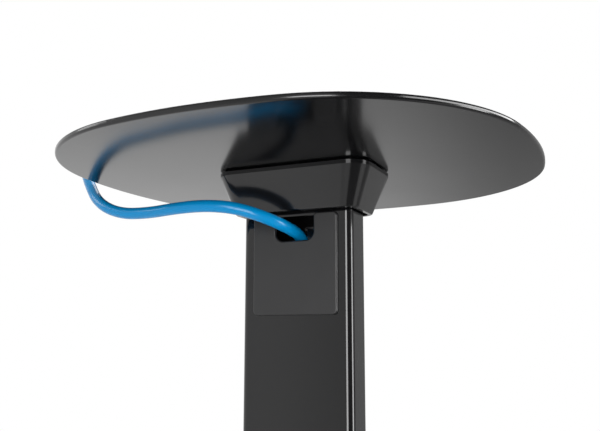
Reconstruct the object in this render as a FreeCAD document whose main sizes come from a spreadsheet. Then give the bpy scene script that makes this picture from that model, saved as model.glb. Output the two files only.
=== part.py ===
"""Speaker stand: a rounded-square plate on a flat tubular post and a heavier base plate.

The post stands on the base through a bracket at each end. Each bracket is hidden by a tapered collar.
A lead runs up inside the post and leaves it through windows that are closed by notched covers.

Millimetres. X runs along the post's wide face, Y from that face to the back, Z up from the floor.
The origin is on the floor under the middle of the post.
"""
import FreeCAD, Part
import math
import os
import Sketcher
from FreeCAD import Placement, Rotation, Vector

DRIVING_DIMENSIONS = [
    ("overall_height", 600.0, "floor to the upper face of the top plate"),
    ("top_plate_width", 250.0, "top plate, side to side"),
    ("top_plate_thickness", 3.0, "steel sheet of the top plate"),
    ("top_plate_side_radius", 254.0, "radius of the plate's four long sides"),
    ("top_plate_corner_radius", 98.0, "radius of the plate's four corners"),
    ("top_plate_edge_round", 1.2, "rounding of both rims of the top plate"),
    ("base_plate_width", 300.0, "base plate, side to side"),
    ("base_plate_thickness", 6.0, "steel sheet of the base plate"),
    ("base_plate_side_radius", 305.0, "radius of the base's four long sides"),
    ("base_plate_corner_radius", 118.0, "radius of the base's four corners"),
    ("base_plate_edge_round", 2.0, "rounding of both rims of the base plate"),
    ("pad_spacing", 160.0, "anti-slip pads, centre to centre"),
    ("pad_diameter", 20.0, "anti-slip pad"),
    ("pad_thickness", 1.5, "anti-slip pad"),
    ("post_width", 63.0, "wide face of the post"),
    ("post_depth", 22.0, "narrow face of the post"),
    ("post_corner_radius", 4.0, "outer corners of the post"),
    ("post_wall", 2.0, "wall of the extruded post"),
    ("screw_port_radius", 4.2, "outside of the round screw ports in the post's corners"),
    ("screw_port_inset", 5.0, "from the post's faces to the middle of a port"),
    ("post_screw_radius", 2.5, "thread-forming screws into the ports"),
    ("bracket_rim_thickness", 3.0, "bracket rim"),
    ("bracket_step", 2.25, "from the bracket's rim in to its platform"),
    ("bracket_platform_radius", 6.0, "corners of the platform"),
    ("bracket_platform_thickness", 3.0, "raised platform, above the rim"),
    ("bracket_socket_wall", 2.6, "socket wall round the post's end"),
    ("bracket_socket_depth", 8.0, "how far the socket reaches along the post"),
    ("bracket_core_width", 36.0, "lightening pocket in the bracket"),
    ("bracket_core_depth", 12.0, "lightening pocket in the bracket"),
    ("plate_screw_spacing_x", 66.0, "plate and base screws, centre to centre"),
    ("plate_screw_spacing_y", 28.0, "plate and base screws, centre to centre"),
    ("plate_screw_radius", 2.5, "plate and base screws"),
    ("screw_head_radius", 4.6, "countersunk heads"),
    ("plate_screw_length", 8.0, "plate screws, head included"),
    ("base_screw_length", 11.0, "base screws, head included"),
    ("post_screw_length", 18.0, "post screws, head included"),
    ("hex_socket_radius", 1.75, "hexagon recess in the screw heads, over corners"),
    ("hex_socket_depth", 1.7, "hexagon recess in the screw heads"),
    ("collar_wide_width", 87.0, "collar at the plate"),
    ("collar_wide_depth", 50.0, "collar at the plate"),
    ("collar_wide_radius", 11.5, "collar corners at the plate"),
    ("collar_narrow_width", 71.0, "collar at its mouth round the post"),
    ("collar_narrow_depth", 35.0, "collar at its mouth round the post"),
    ("collar_narrow_radius", 7.5, "collar corners at its mouth"),
    ("collar_length", 22.8, "collar along the post"),
    ("collar_lip", 2.0, "straight lip at the collar's wide end"),
    ("collar_wall", 2.4, "moulded wall of the collar"),
    ("collar_lug_length", 12.0, "lugs that hook over the bracket rim"),
    ("collar_mouth_round", 0.9, "rounded rim of the collar's mouth"),
    ("upper_collar_gap", 1.0, "shadow gap between the top plate and the upper collar"),
    ("cover_width", 48.6, "cable cover"),
    ("cover_height", 53.8, "cable cover"),
    ("cover_radius", 2.6, "corners of the cable cover"),
    ("cover_thickness", 1.4, "cable cover, in front of the post"),
    ("cover_edge_round", 0.9, "rounding of the cover's outer rim"),
    ("cover_skirt_wall", 1.6, "skirt behind the cover"),
    ("cover_skirt_depth", 3.0, "skirt behind the cover, from its back face"),
    ("cover_end_distance", 24.7, "from the plate's face to the near end of the cover"),
    ("notch_width", 22.0, "U notch in the cover"),
    ("notch_depth", 14.5, "U notch in the cover"),
    ("notch_radius", 4.5, "bottom corners of the U notch"),
    ("horn_round", 2.0, "outer corners beside the notch"),
    ("window_width", 40.0, "cable window in the post"),
    ("window_height", 46.0, "cable window in the post"),
    ("window_radius", 2.5, "corners of the cable window"),
    ("window_end_distance", 25.9, "from the plate's face to the near end of the window"),
    ("foot_pad_height", 10.0, "levelling foot, without its stud"),
    ("foot_pad_radius", 16.0, "levelling foot at the floor"),
    ("foot_pad_taper", 12.0, "slope of the foot's side, degrees"),
    ("foot_pad_round", 1.2, "rounded rims of the foot"),
    ("foot_spacing", 196.0, "levelling feet, centre to centre"),
    ("foot_stud_radius", 4.0, "thread of the foot's stud"),
    ("foot_stud_buried", 6.0, "stud inside the moulded foot"),
    ("foot_travel", 6.0, "how far a foot screws out"),
    ("lock_nut_radius", 9.5, "knurled lock nut"),
    ("thread_left", 2.0, "stud still inside the lock nut when a foot is screwed right out"),
    ("lock_nut_flute_radius", 1.1, "flutes round the lock nut"),
    ("lock_nut_flutes", 14.0, "flutes round the lock nut"),
    ("seat_gap", 0.3, "between a fixed piece and one that moves"),
    ("slip_fit", 0.15, "round the post's ends in their sockets"),
    ("thread_fit", 0.05, "between a thread and its hole"),
    ("shank_fit", 0.2, "between a screw and its clearance hole"),
    ("lead_diameter", 6.5, "round sheathed lead"),
    ("coil_turns_per_layer", 1.75, "turns in each of the coil's two layers"),
    ("coil_outer_radius", 42.3, "outermost turn, to the middle of the lead"),
    ("coil_gap", 0.7, "between neighbouring turns"),
    ("tie_width", 14.0, "strap round the coil"),
    ("tie_thickness", 0.7, "strap round the coil"),
    ("tie_gap", 0.35, "between the strap and the turns"),
    ("lead_gap", 0.4, "from the cover's face to the seam of the lead"),
    ("lead_back_gap", 0.75, "from the post's back wall to the lead"),
    ("plug_length", 21.5, "eight-way modular plug"),
    ("plug_width", 11.7, "eight-way modular plug"),
    ("plug_height", 8.0, "eight-way modular plug, without its latch"),
    ("boot_length", 19.0, "tapered boot behind the plug"),
    ("boot_end_radius", 4.3, "boot where the lead enters it"),
    ("boot_edge_round", 0.7, "corners of the boot where it meets the plug"),
    ("contact_pitch", 1.02, "contact blades of the plug"),
    ("contact_length", 7.0, "contact blades of the plug"),
    ("contact_depth", 2.6, "contact blades of the plug, up from its underside"),
    ("contact_blade", 0.37, "thickness of a contact blade"),
    ("contact_slot", 0.61, "width of the slot that a blade stands in"),
    ("latch_length", 16.0, "spring latch of the plug"),
    ("latch_width", 5.8, "spring latch of the plug"),
    ("latch_thickness", 0.8, "spring latch of the plug"),
    ("latch_root", 1.5, "from the plug's nose to the root of its latch"),
    ("latch_slope", 12.0, "rise of the spring latch towards the boot, degrees"),
]
COUNTERSINK_ANGLE = 90

doc = FreeCAD.newDocument("speaker_stand")
sheet = doc.addObject("Spreadsheet::Sheet", "dims")
for row, (alias, number, meaning) in enumerate(DRIVING_DIMENSIONS, start=1):
    sheet.set(f"A{row}", meaning)
    sheet.set(f"B{row}", str(number))
    sheet.setAlias(f"B{row}", alias)
doc.recompute()

sub_parts = []


def size(expression):
    """Value of an expression over the sheet's named dimensions."""
    return float(sheet.evalExpression(expression))


def bind(item, bindings):
    """Tie properties or named constraints of an item to expressions over the sheet."""
    for name, expression in bindings.items():
        item.setExpression(name, expression)


def finish_part(item, label):
    """Give a finished piece its name and put it on the list of pieces."""
    item.Label = label
    sub_parts.append(item)
    return item


# ---------------------------------------------------------------- sketches and features

def new_body(name, height="0"):
    body = doc.addObject("PartDesign::Body", name)
    body.setExpression("Placement.Base.z", height)
    return body


def new_sketch(body, name, role="XY_Plane", offset="0"):
    """Empty sketch on one of the body's own origin planes, moved along that plane's normal."""
    sketch = body.newObject("Sketcher::SketchObject", name)
    origin_plane = next(plane for plane in body.Origin.OriginFeatures if plane.Role == role)
    sketch.AttachmentSupport = [(origin_plane, "")]
    sketch.MapMode = "FlatFace"
    sketch.setExpression("AttachmentOffset.Base.z", offset)
    return sketch


def name_constraint(sketch, name, constraint, expression):
    index = sketch.addConstraint(constraint)
    sketch.renameConstraint(index, name)
    sketch.setExpression(f"Constraints.{name}", expression)


def draw_rounded_rectangle(sketch, width, height, radius, middle="0", side="0", tag=""):
    """Rounded rectangle whose middle lies at a given height and distance to the side."""
    half_width = size(width) / 2
    half_height = size(height) / 2
    round_radius = size(radius)
    middle_height = size(middle)
    middle_side = size(side)
    inner_x = half_width - round_radius
    inner_y = half_height - round_radius
    first = sketch.GeometryCount
    corners = [Vector(x_sign * inner_x + middle_side, y_sign * inner_y + middle_height, 0)
               for x_sign, y_sign in ((1, -1), (1, 1), (-1, 1), (-1, -1))]
    for index, corner in enumerate(corners):
        arc_start = (index - 1) * math.pi / 2
        arc_end = index * math.pi / 2
        arc = Part.ArcOfCircle(Part.Circle(corner, Vector(0, 0, 1), round_radius), arc_start, arc_end)
        outward = Vector(math.cos(arc_end), math.sin(arc_end), 0)
        line_end = corners[(index + 1) % 4] + outward * round_radius
        sketch.addGeometry([arc, Part.LineSegment(arc.EndPoint, line_end)])
    for index in range(8):
        sketch.addConstraint(Sketcher.Constraint("Tangent", first + index, 2, first + (index + 1) % 8, 1))
    right, top, left, bottom = first + 1, first + 3, first + 5, first + 7
    for line in (right, left):
        sketch.addConstraint(Sketcher.Constraint("Vertical", line))
    for line in (top, bottom):
        sketch.addConstraint(Sketcher.Constraint("Horizontal", line))
    for index in (2, 4, 6):
        sketch.addConstraint(Sketcher.Constraint("Equal", first, first + index))
    name_constraint(sketch, "radius" + tag, Sketcher.Constraint("Radius", first, round_radius), radius)
    name_constraint(sketch, "width" + tag,
                    Sketcher.Constraint("DistanceX", left, 1, right, 1, 2 * half_width), width)
    name_constraint(sketch, "height" + tag,
                    Sketcher.Constraint("DistanceY", bottom, 1, top, 1, 2 * half_height), height)
    name_constraint(sketch, "low_side" + tag,
                    Sketcher.Constraint("DistanceY", -1, 1, bottom, 1, middle_height - half_height),
                    f"{middle} - ({height}) / 2")
    name_constraint(sketch, "left_side" + tag,
                    Sketcher.Constraint("DistanceX", -1, 1, left, 1, middle_side - half_width),
                    f"{side} - ({width}) / 2")


def draw_rounded_square(sketch, width, side_radius, corner_radius):
    """Plate outline of eight tangent arcs: four long sides and four corners."""
    half_width = size(width) / 2
    side = size(side_radius)
    corner = size(corner_radius)
    side_centre = side - half_width
    # The corner's centre lies on the diagonal, where the two arcs touch from inside.
    corner_centre = (math.sqrt(2 * (side - corner) ** 2 - side_centre ** 2) - side_centre) / 2
    side_half_angle = math.atan2(corner_centre, corner_centre + side_centre)
    normal = Vector(0, 0, 1)
    for quarter in range(4):
        turn = quarter * math.pi / 2
        side_middle = Vector(-side_centre * math.cos(turn), -side_centre * math.sin(turn), 0)
        side_circle = Part.Circle(side_middle, normal, side)
        diagonal = turn + math.pi / 4
        corner_middle = Vector(math.cos(diagonal), math.sin(diagonal), 0) * corner_centre * math.sqrt(2)
        corner_circle = Part.Circle(corner_middle, normal, corner)
        corner_end = turn + math.pi / 2 - side_half_angle
        sketch.addGeometry([Part.ArcOfCircle(side_circle, turn - side_half_angle, turn + side_half_angle),
                            Part.ArcOfCircle(corner_circle, turn + side_half_angle, corner_end)])
    for index in range(8):
        sketch.addConstraint(Sketcher.Constraint("Tangent", index, 2, (index + 1) % 8, 1))
    for index in (2, 4, 6):
        sketch.addConstraint(Sketcher.Constraint("Equal", 0, index))
        sketch.addConstraint(Sketcher.Constraint("Equal", 1, 1 + index))
    name_constraint(sketch, "side_radius", Sketcher.Constraint("Radius", 0, side), side_radius)
    name_constraint(sketch, "corner_radius", Sketcher.Constraint("Radius", 1, corner), corner_radius)
    x_axis, y_axis = -1, -2
    centres = ((0, x_axis, "DistanceX", -1), (2, y_axis, "DistanceY", -1),
               (4, x_axis, "DistanceX", 1), (6, y_axis, "DistanceY", 1))
    for arc, axis, direction, sign in centres:
        sketch.addConstraint(Sketcher.Constraint("PointOnObject", arc, 3, axis))
        name_constraint(sketch, f"centre_{arc}",
                        Sketcher.Constraint(direction, -1, 1, arc, 3, sign * side_centre),
                        f"{sign} * ({side_radius} - {width} / 2)")


def draw_four_circles(sketch, spacing_x, spacing_y, radius):
    """Equal circles at the corners of a rectangle round the origin."""
    half_x = size(spacing_x) / 2
    half_y = size(spacing_y) / 2
    circle_radius = size(radius)
    for x, y in ((half_x, half_y), (-half_x, half_y), (-half_x, -half_y), (half_x, -half_y)):
        sketch.addGeometry(Part.Circle(Vector(x, y, 0), Vector(0, 0, 1), circle_radius))
    for index in (1, 2, 3):
        sketch.addConstraint(Sketcher.Constraint("Equal", 0, index))
    sketch.addConstraint(Sketcher.Constraint("Symmetric", 0, 3, 1, 3, -2))
    sketch.addConstraint(Sketcher.Constraint("Symmetric", 0, 3, 3, 3, -1))
    sketch.addConstraint(Sketcher.Constraint("Symmetric", 0, 3, 2, 3, -1, 1))
    name_constraint(sketch, "radius", Sketcher.Constraint("Radius", 0, circle_radius), radius)
    name_constraint(sketch, "middle_x", Sketcher.Constraint("DistanceX", -1, 1, 0, 3, half_x), f"{spacing_x} / 2")
    name_constraint(sketch, "middle_y", Sketcher.Constraint("DistanceY", -1, 1, 0, 3, half_y), f"{spacing_y} / 2")


def draw_circle(sketch, radius, centre_x="0", centre_y="0"):
    x, y = size(centre_x), size(centre_y)
    circle = sketch.addGeometry(Part.Circle(Vector(x, y, 0), Vector(0, 0, 1), size(radius)))
    name_constraint(sketch, "radius", Sketcher.Constraint("Radius", circle, size(radius)), radius)
    name_constraint(sketch, "centre_x", Sketcher.Constraint("DistanceX", -1, 1, circle, 3, x), centre_x)
    name_constraint(sketch, "centre_y", Sketcher.Constraint("DistanceY", -1, 1, circle, 3, y), centre_y)


def pad(body, sketch, length, backwards=False):
    feature = body.newObject("PartDesign::Pad", sketch.Name + "_pad")
    feature.Profile = sketch
    feature.setExpression("Length", length)
    feature.Reversed = backwards
    doc.recompute()
    return feature


def pocket(body, sketch, length, backwards=False):
    """Cut a sketch into the body and make sure that the cut removed something."""
    volume_before = body.Shape.Volume
    feature = body.newObject("PartDesign::Pocket", sketch.Name + "_pocket")
    feature.Profile = sketch
    feature.setExpression("Length", length)
    feature.Reversed = backwards
    doc.recompute()
    if body.Shape.Volume > volume_before - 0.01:
        raise RuntimeError(f"{feature.Name} cuts nothing")
    return feature


def edge_names(shape, is_wanted):
    """Names of the edges for which the test on their bounding box holds."""
    return [f"Edge{number}" for number, edge in enumerate(shape.Edges, start=1) if is_wanted(edge.BoundBox)]


def fillet(body, base, is_wanted, radius):
    feature = body.newObject("PartDesign::Fillet", base.Name + "_fillet")
    feature.Base = (base, edge_names(base.Shape, is_wanted))
    feature.setExpression("Radius", radius)
    doc.recompute()
    return feature


def is_level(box, height):
    return box.ZLength < 1e-4 and abs(box.ZMin - height) < 1e-4


def countersunk_holes(body, sketch, from_below):
    """Clearance holes with a countersink for the flush screws."""
    hole = body.newObject("PartDesign::Hole", sketch.Name + "_hole")
    hole.Profile = sketch
    hole.Reversed = from_below
    hole.ThreadType = "None"
    hole.Threaded = False
    hole.DepthType = "ThroughAll"
    hole.HoleCutType = "Countersink"
    hole.HoleCutCustomValues = True
    hole.HoleCutCountersinkAngle = COUNTERSINK_ANGLE
    bind(hole, {"Diameter": "2 * (dims.plate_screw_radius + dims.shank_fit)",
                "HoleCutDiameter": "2 * (dims.screw_head_radius + dims.shank_fit)"})
    doc.recompute()
    return hole


# ---------------------------------------------------------------- groups of four

def mirrored(source, name, normal):
    copy = doc.addObject("Part::Mirroring", name)
    copy.Source = source
    copy.Normal = normal
    return copy


def four_corners(source, name):
    """The piece itself and its three mirror images, in the order +x+y, -x+y, -x-y, +x-y."""
    left_back = mirrored(source, name + "_left_back", Vector(1, 0, 0))
    left_front = mirrored(left_back, name + "_left_front", Vector(0, 1, 0))
    right_front = mirrored(source, name + "_right_front", Vector(0, 1, 0))
    return [source, left_back, left_front, right_front]


def group_of_four(source, label):
    group = doc.addObject("Part::Compound", label)
    group.Links = four_corners(source, source.Name)
    return finish_part(group, label)


# ---------------------------------------------------------------- levels of the stand

BASE_UNDERSIDE = "(dims.foot_pad_height + dims.seat_gap)"
BASE_TOP = f"({BASE_UNDERSIDE} + dims.base_plate_thickness)"
PLATE_UNDERSIDE = "(dims.overall_height - dims.top_plate_thickness)"
BRACKET_HEIGHT = "(dims.bracket_rim_thickness + dims.bracket_platform_thickness)"
POST_BOTTOM = f"({BASE_TOP} + {BRACKET_HEIGHT})"
POST_TOP = f"({PLATE_UNDERSIDE} - {BRACKET_HEIGHT})"
LOCK_NUT_HEIGHT = "(dims.foot_travel + dims.thread_left)"


# ---------------------------------------------------------------- plates

def make_plate(label, kind, height, screws_from_below):
    """Sheet-metal plate with rounded rims and four countersunk screw holes in its middle."""
    body = new_body(label, height)
    thickness = f"dims.{kind}_thickness"
    outline = new_sketch(body, label + "_outline")
    draw_rounded_square(outline, f"dims.{kind}_width", f"dims.{kind}_side_radius", f"dims.{kind}_corner_radius")
    sheet_pad = pad(body, outline, thickness)
    top = size(thickness)
    fillet(body, sheet_pad, lambda box: is_level(box, 0) or is_level(box, top), f"dims.{kind}_edge_round")
    holes = new_sketch(body, label + "_holes", offset="0" if screws_from_below else thickness)
    draw_four_circles(holes, "dims.plate_screw_spacing_x", "dims.plate_screw_spacing_y",
                      "dims.plate_screw_radius + dims.shank_fit")
    countersunk_holes(body, holes, screws_from_below)
    return finish_part(body, label)


top_plate = make_plate("top_plate", "top_plate", PLATE_UNDERSIDE, screws_from_below=False)
base_plate = make_plate("base_plate", "base_plate", BASE_UNDERSIDE, screws_from_below=True)
foot_holes = new_sketch(base_plate, "foot_holes", offset="dims.base_plate_thickness")
draw_four_circles(foot_holes, "dims.foot_spacing", "dims.foot_spacing", "dims.foot_stud_radius")
pocket(base_plate, foot_holes, "dims.base_plate_thickness")

anti_slip_pad = doc.addObject("Part::Cylinder", "anti_slip_pad")
bind(anti_slip_pad, {"Radius": "dims.pad_diameter / 2",
                     "Height": "dims.pad_thickness",
                     "Placement.Base.x": "dims.pad_spacing / 2",
                     "Placement.Base.y": "dims.pad_spacing / 2",
                     "Placement.Base.z": "dims.overall_height"})
group_of_four(anti_slip_pad, "top_pads")


# ---------------------------------------------------------------- post

def make_post():
    """Extruded flat tube with a round screw port in each corner and a cable window at each end."""
    body = new_body("post", POST_BOTTOM)
    length = f"{POST_TOP} - {POST_BOTTOM}"
    outside = new_sketch(body, "post_outside")
    draw_rounded_rectangle(outside, "dims.post_width", "dims.post_depth", "dims.post_corner_radius")
    pad(body, outside, length)
    inside = new_sketch(body, "post_inside")
    draw_rounded_rectangle(inside, "dims.post_width - 2 * dims.post_wall", "dims.post_depth - 2 * dims.post_wall",
                           "dims.post_corner_radius - dims.post_wall")
    pocket(body, inside, length, backwards=True)
    ports = new_sketch(body, "screw_ports")
    port_spacing = ("dims.post_width - 2 * dims.screw_port_inset", "dims.post_depth - 2 * dims.screw_port_inset")
    draw_four_circles(ports, f"({port_spacing[0]})", f"({port_spacing[1]})", "dims.screw_port_radius")
    pad(body, ports, length)
    threads = new_sketch(body, "port_threads")
    draw_four_circles(threads, f"({port_spacing[0]})", f"({port_spacing[1]})", "dims.post_screw_radius")
    pocket(body, threads, length, backwards=True)
    window_middles = {"lower": f"{BASE_TOP} - {POST_BOTTOM} + dims.window_end_distance + dims.window_height / 2",
                      "upper": f"{PLATE_UNDERSIDE} - {POST_BOTTOM} - dims.window_end_distance"
                               " - dims.window_height / 2"}
    for end, middle in window_middles.items():
        window = new_sketch(body, end + "_window", role="XZ_Plane", offset="dims.post_depth / 2")
        draw_rounded_rectangle(window, "dims.window_width", "dims.window_height", "dims.window_radius", middle)
        pocket(body, window, "dims.post_wall")
    return finish_part(body, "post")


make_post()


# ---------------------------------------------------------------- brackets and their screws

def inside_collar(measure, walls):
    """The collar's inside at the face of the bracket's rim, less a gap at each wall that it spans."""
    wide = f"dims.collar_wide_{measure}"
    narrow = f"dims.collar_narrow_{measure}"
    taper_share = f"({BRACKET_HEIGHT} - dims.collar_lip) / (dims.collar_length - dims.collar_lip)"
    return f"({wide} - ({wide} - {narrow}) * {taper_share} - {walls} * (dims.collar_wall + dims.seat_gap))"


RIM_WIDTH = inside_collar("width", walls=2)
RIM_DEPTH = inside_collar("depth", walls=2)
RIM_RADIUS = inside_collar("radius", walls=1)
PLATFORM_WIDTH = f"({RIM_WIDTH} - 2 * dims.bracket_step)"
PLATFORM_DEPTH = f"({RIM_DEPTH} - 2 * dims.bracket_step)"


def make_bracket(label, height, upside_down):
    """Die-cast bracket: a platform on the plate, a stepped rim for the collar, a socket for the post."""
    body = new_body(label, height)
    if upside_down:
        body.Placement = Placement(body.Placement.Base, Rotation(Vector(1, 0, 0), 180))
        body.setExpression("Placement.Base.z", height)
    platform = new_sketch(body, label + "_platform")
    draw_rounded_rectangle(platform, PLATFORM_WIDTH, PLATFORM_DEPTH, "dims.bracket_platform_radius")
    pad(body, platform, BRACKET_HEIGHT)
    rim = new_sketch(body, label + "_rim", offset="dims.bracket_platform_thickness")
    draw_rounded_rectangle(rim, RIM_WIDTH, RIM_DEPTH, RIM_RADIUS)
    pad(body, rim, "dims.bracket_rim_thickness")
    socket = new_sketch(body, label + "_socket", offset=BRACKET_HEIGHT)
    grown = "2 * (dims.slip_fit + dims.bracket_socket_wall)"
    draw_rounded_rectangle(socket, f"dims.post_width + {grown}", f"dims.post_depth + {grown}",
                           "dims.post_corner_radius + dims.slip_fit + dims.bracket_socket_wall")
    pad(body, socket, "dims.bracket_socket_depth")
    bore = new_sketch(body, label + "_bore", offset=f"{BRACKET_HEIGHT} + dims.bracket_socket_depth")
    draw_rounded_rectangle(bore, "dims.post_width + 2 * dims.slip_fit", "dims.post_depth + 2 * dims.slip_fit",
                           "dims.post_corner_radius + dims.slip_fit")
    pocket(body, bore, "dims.bracket_socket_depth")
    core = new_sketch(body, label + "_core", offset=BRACKET_HEIGHT)
    draw_rounded_rectangle(core, "dims.bracket_core_width", "dims.bracket_core_depth",
                           "dims.post_corner_radius - dims.post_wall")
    pocket(body, core, "dims.bracket_rim_thickness")
    plate_holes = new_sketch(body, label + "_plate_holes", offset=BRACKET_HEIGHT)
    draw_four_circles(plate_holes, "dims.plate_screw_spacing_x", "dims.plate_screw_spacing_y",
                      "dims.plate_screw_radius")
    pocket(body, plate_holes, BRACKET_HEIGHT)
    post_holes = new_sketch(body, label + "_post_holes")
    draw_four_circles(post_holes, "(dims.post_width - 2 * dims.screw_port_inset)",
                      "(dims.post_depth - 2 * dims.screw_port_inset)", "dims.post_screw_radius + dims.shank_fit")
    countersunk_holes(body, post_holes, from_below=True)
    return finish_part(body, label)


make_bracket("head_bracket", PLATE_UNDERSIDE, upside_down=True)
make_bracket("foot_bracket", BASE_TOP, upside_down=False)


def make_screws(label, radius, length, x, y, face_height, head_up):
    """Four flush screws: a countersunk head with a hexagon recess on a plain shank."""
    sign = -1 if head_up else 1
    head_height = f"(dims.screw_head_radius - {radius})"
    head = doc.addObject("Part::Cone", label + "_head")
    shank = doc.addObject("Part::Cylinder", label + "_shank")
    recess = doc.addObject("Part::Prism", label + "_recess")
    recess.Polygon = 6
    for piece in (head, shank, recess):
        piece.Placement = Placement(Vector(), Rotation(Vector(1, 0, 0), 180 if head_up else 0))
        bind(piece, {"Placement.Base.x": x, "Placement.Base.y": y, "Placement.Base.z": face_height})
    bind(head, {"Radius1": "dims.screw_head_radius",
                "Radius2": f"{radius} - dims.thread_fit",
                "Height": f"{head_height} + dims.thread_fit"})
    bind(shank, {"Radius": f"{radius} - dims.thread_fit",
                 "Height": f"{length} - {head_height}",
                 "Placement.Base.z": f"{face_height} + {sign} * {head_height}"})
    bind(recess, {"Circumradius": "dims.hex_socket_radius", "Height": "dims.hex_socket_depth"})
    solid = doc.addObject("Part::Fuse", label + "_solid")
    solid.Base = head
    solid.Tool = shank
    screw = doc.addObject("Part::Cut", label + "_screw")
    screw.Base = solid
    screw.Tool = recess
    return group_of_four(screw, label)


PLATE_SCREW = {"radius": "dims.plate_screw_radius",
               "x": "dims.plate_screw_spacing_x / 2",
               "y": "dims.plate_screw_spacing_y / 2"}
POST_SCREW = {"radius": "dims.post_screw_radius",
              "length": "dims.post_screw_length",
              "x": "dims.post_width / 2 - dims.screw_port_inset",
              "y": "dims.post_depth / 2 - dims.screw_port_inset"}
make_screws("plate_screws", length="dims.plate_screw_length", face_height="dims.overall_height",
            head_up=True, **PLATE_SCREW)
make_screws("base_screws", length="dims.base_screw_length", face_height=BASE_UNDERSIDE,
            head_up=False, **PLATE_SCREW)
make_screws("post_top_screws", face_height=PLATE_UNDERSIDE, head_up=True, **POST_SCREW)
make_screws("post_bottom_screws", face_height=BASE_TOP, head_up=False, **POST_SCREW)


# ---------------------------------------------------------------- collars

def loft(body, sketches, feature_type, name):
    feature = body.newObject(feature_type, name)
    feature.Profile = sketches[0]
    feature.Sections = sketches[1:]
    feature.Ruled = True
    doc.recompute()
    return feature


def make_collar(label, height, upside_down):
    """Moulded shell: a straight lip at the plate, then a taper to a rounded mouth round the post."""
    body = new_body(label, height)
    if upside_down:
        body.Placement = Placement(body.Placement.Base, Rotation(Vector(1, 0, 0), 180))
        body.setExpression("Placement.Base.z", height)
    outlines = {}
    for shell, inset in (("outer", ""), ("inner", " - 2 * dims.collar_wall")):
        corner_inset = "" if shell == "outer" else " - dims.collar_wall"
        for level, offset in (("plate", "0"), ("lip", "dims.collar_lip"), ("mouth", "dims.collar_length")):
            wide = "narrow" if level == "mouth" else "wide"
            outline = new_sketch(body, f"{label}_{shell}_{level}", offset=offset)
            draw_rounded_rectangle(outline, f"dims.collar_{wide}_width{inset}", f"dims.collar_{wide}_depth{inset}",
                                   f"dims.collar_{wide}_radius{corner_inset}")
            outlines[shell, level] = outline
    pad(body, outlines["outer", "plate"], "dims.collar_lip")
    taper = loft(body, [outlines["outer", "lip"], outlines["outer", "mouth"]], "PartDesign::AdditiveLoft",
                 label + "_taper")
    mouth_height = size("dims.collar_length")
    fillet(body, taper, lambda box: is_level(box, mouth_height), "dims.collar_mouth_round")
    pocket(body, outlines["inner", "plate"], "dims.collar_lip", backwards=True)
    loft(body, [outlines["inner", "lip"], outlines["inner", "mouth"]], "PartDesign::SubtractiveLoft",
         label + "_hollow")
    lugs = new_sketch(body, label + "_lugs")
    lug_inside = f"({PLATFORM_DEPTH} / 2 + dims.seat_gap)"
    lug_outside = "(dims.collar_wide_depth / 2 - dims.collar_wall / 2)"
    for side_name, sign in (("_front", "-1"), ("_back", "1")):
        draw_rounded_rectangle(lugs, "dims.collar_lug_length", f"{lug_outside} - {lug_inside}",
                               "dims.collar_mouth_round", f"{sign} * ({lug_outside} + {lug_inside}) / 2",
                               tag=side_name)
    pad(body, lugs, "dims.bracket_platform_thickness - dims.upper_collar_gap")
    return finish_part(body, label)


make_collar("upper_collar", f"{PLATE_UNDERSIDE} - dims.upper_collar_gap", upside_down=True)
make_collar("lower_collar", BASE_TOP, upside_down=False)


# ---------------------------------------------------------------- cable covers

def make_cable_cover(label, height, upside_down):
    """Push-in cover: a face with a U notch in front of the post, a skirt behind it inside the window."""
    body = new_body(label, height)
    if upside_down:
        body.Placement = Placement(body.Placement.Base, Rotation(Vector(0, 1, 0), 180))
        body.setExpression("Placement.Base.z", height)
    back = "dims.post_depth / 2 + dims.seat_gap"
    front = f"{back} + dims.cover_thickness"
    face = new_sketch(body, label + "_face", role="XZ_Plane", offset=back)
    draw_rounded_rectangle(face, "dims.cover_width", "dims.cover_height", "dims.cover_radius",
                           "-1 * dims.cover_height / 2")
    pad(body, face, "dims.cover_thickness")
    skirt = new_sketch(body, label + "_skirt", role="XZ_Plane", offset=back)
    skirt_middle = "(dims.cover_end_distance - dims.window_end_distance - dims.window_height / 2)"
    for tag, inset in (("_outer", "dims.seat_gap"), ("_inner", "(dims.seat_gap + dims.cover_skirt_wall)")):
        draw_rounded_rectangle(skirt, f"dims.window_width - 2 * {inset}", f"dims.window_height - 2 * {inset}",
                               f"dims.window_radius - {inset}", skirt_middle, tag=tag)
    pad(body, skirt, "dims.cover_skirt_depth", backwards=True)
    notch = new_sketch(body, label + "_notch", role="XZ_Plane", offset=front)
    draw_rounded_rectangle(notch, "dims.notch_width", "2 * dims.notch_depth", "dims.notch_radius")
    cut = pocket(body, notch, "dims.cover_thickness + dims.cover_skirt_depth")
    half_notch = size("dims.notch_width / 2")
    horns = fillet(body, cut, lambda box: box.YLength > 0.1 and box.XLength + box.ZLength < 1e-4
                   and abs(abs(box.XMin) - half_notch) < 1e-4 and abs(box.ZMin) < 1e-4, "dims.horn_round")
    front_face = -size(front)
    fillet(body, horns, lambda box: box.YLength < 1e-4 and abs(box.YMin - front_face) < 1e-4,
           "dims.cover_edge_round")
    return finish_part(body, label)


make_cable_cover("upper_cable_cover", f"{PLATE_UNDERSIDE} - dims.cover_end_distance", upside_down=False)
make_cable_cover("lower_cable_cover", f"{BASE_TOP} + dims.cover_end_distance", upside_down=True)


# ---------------------------------------------------------------- levelling feet and lock nuts

FOOT_PLACES = ["back_right", "back_left", "front_left", "front_right"]


def stand_at_foot(item, height):
    bind(item, {"Placement.Base.x": "dims.foot_spacing / 2",
                "Placement.Base.y": "dims.foot_spacing / 2",
                "Placement.Base.z": height})


def name_feet(source, label):
    for piece, place in zip(four_corners(source, label + "_copy"), FOOT_PLACES):
        finish_part(piece, f"{label}_{place}")


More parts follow.
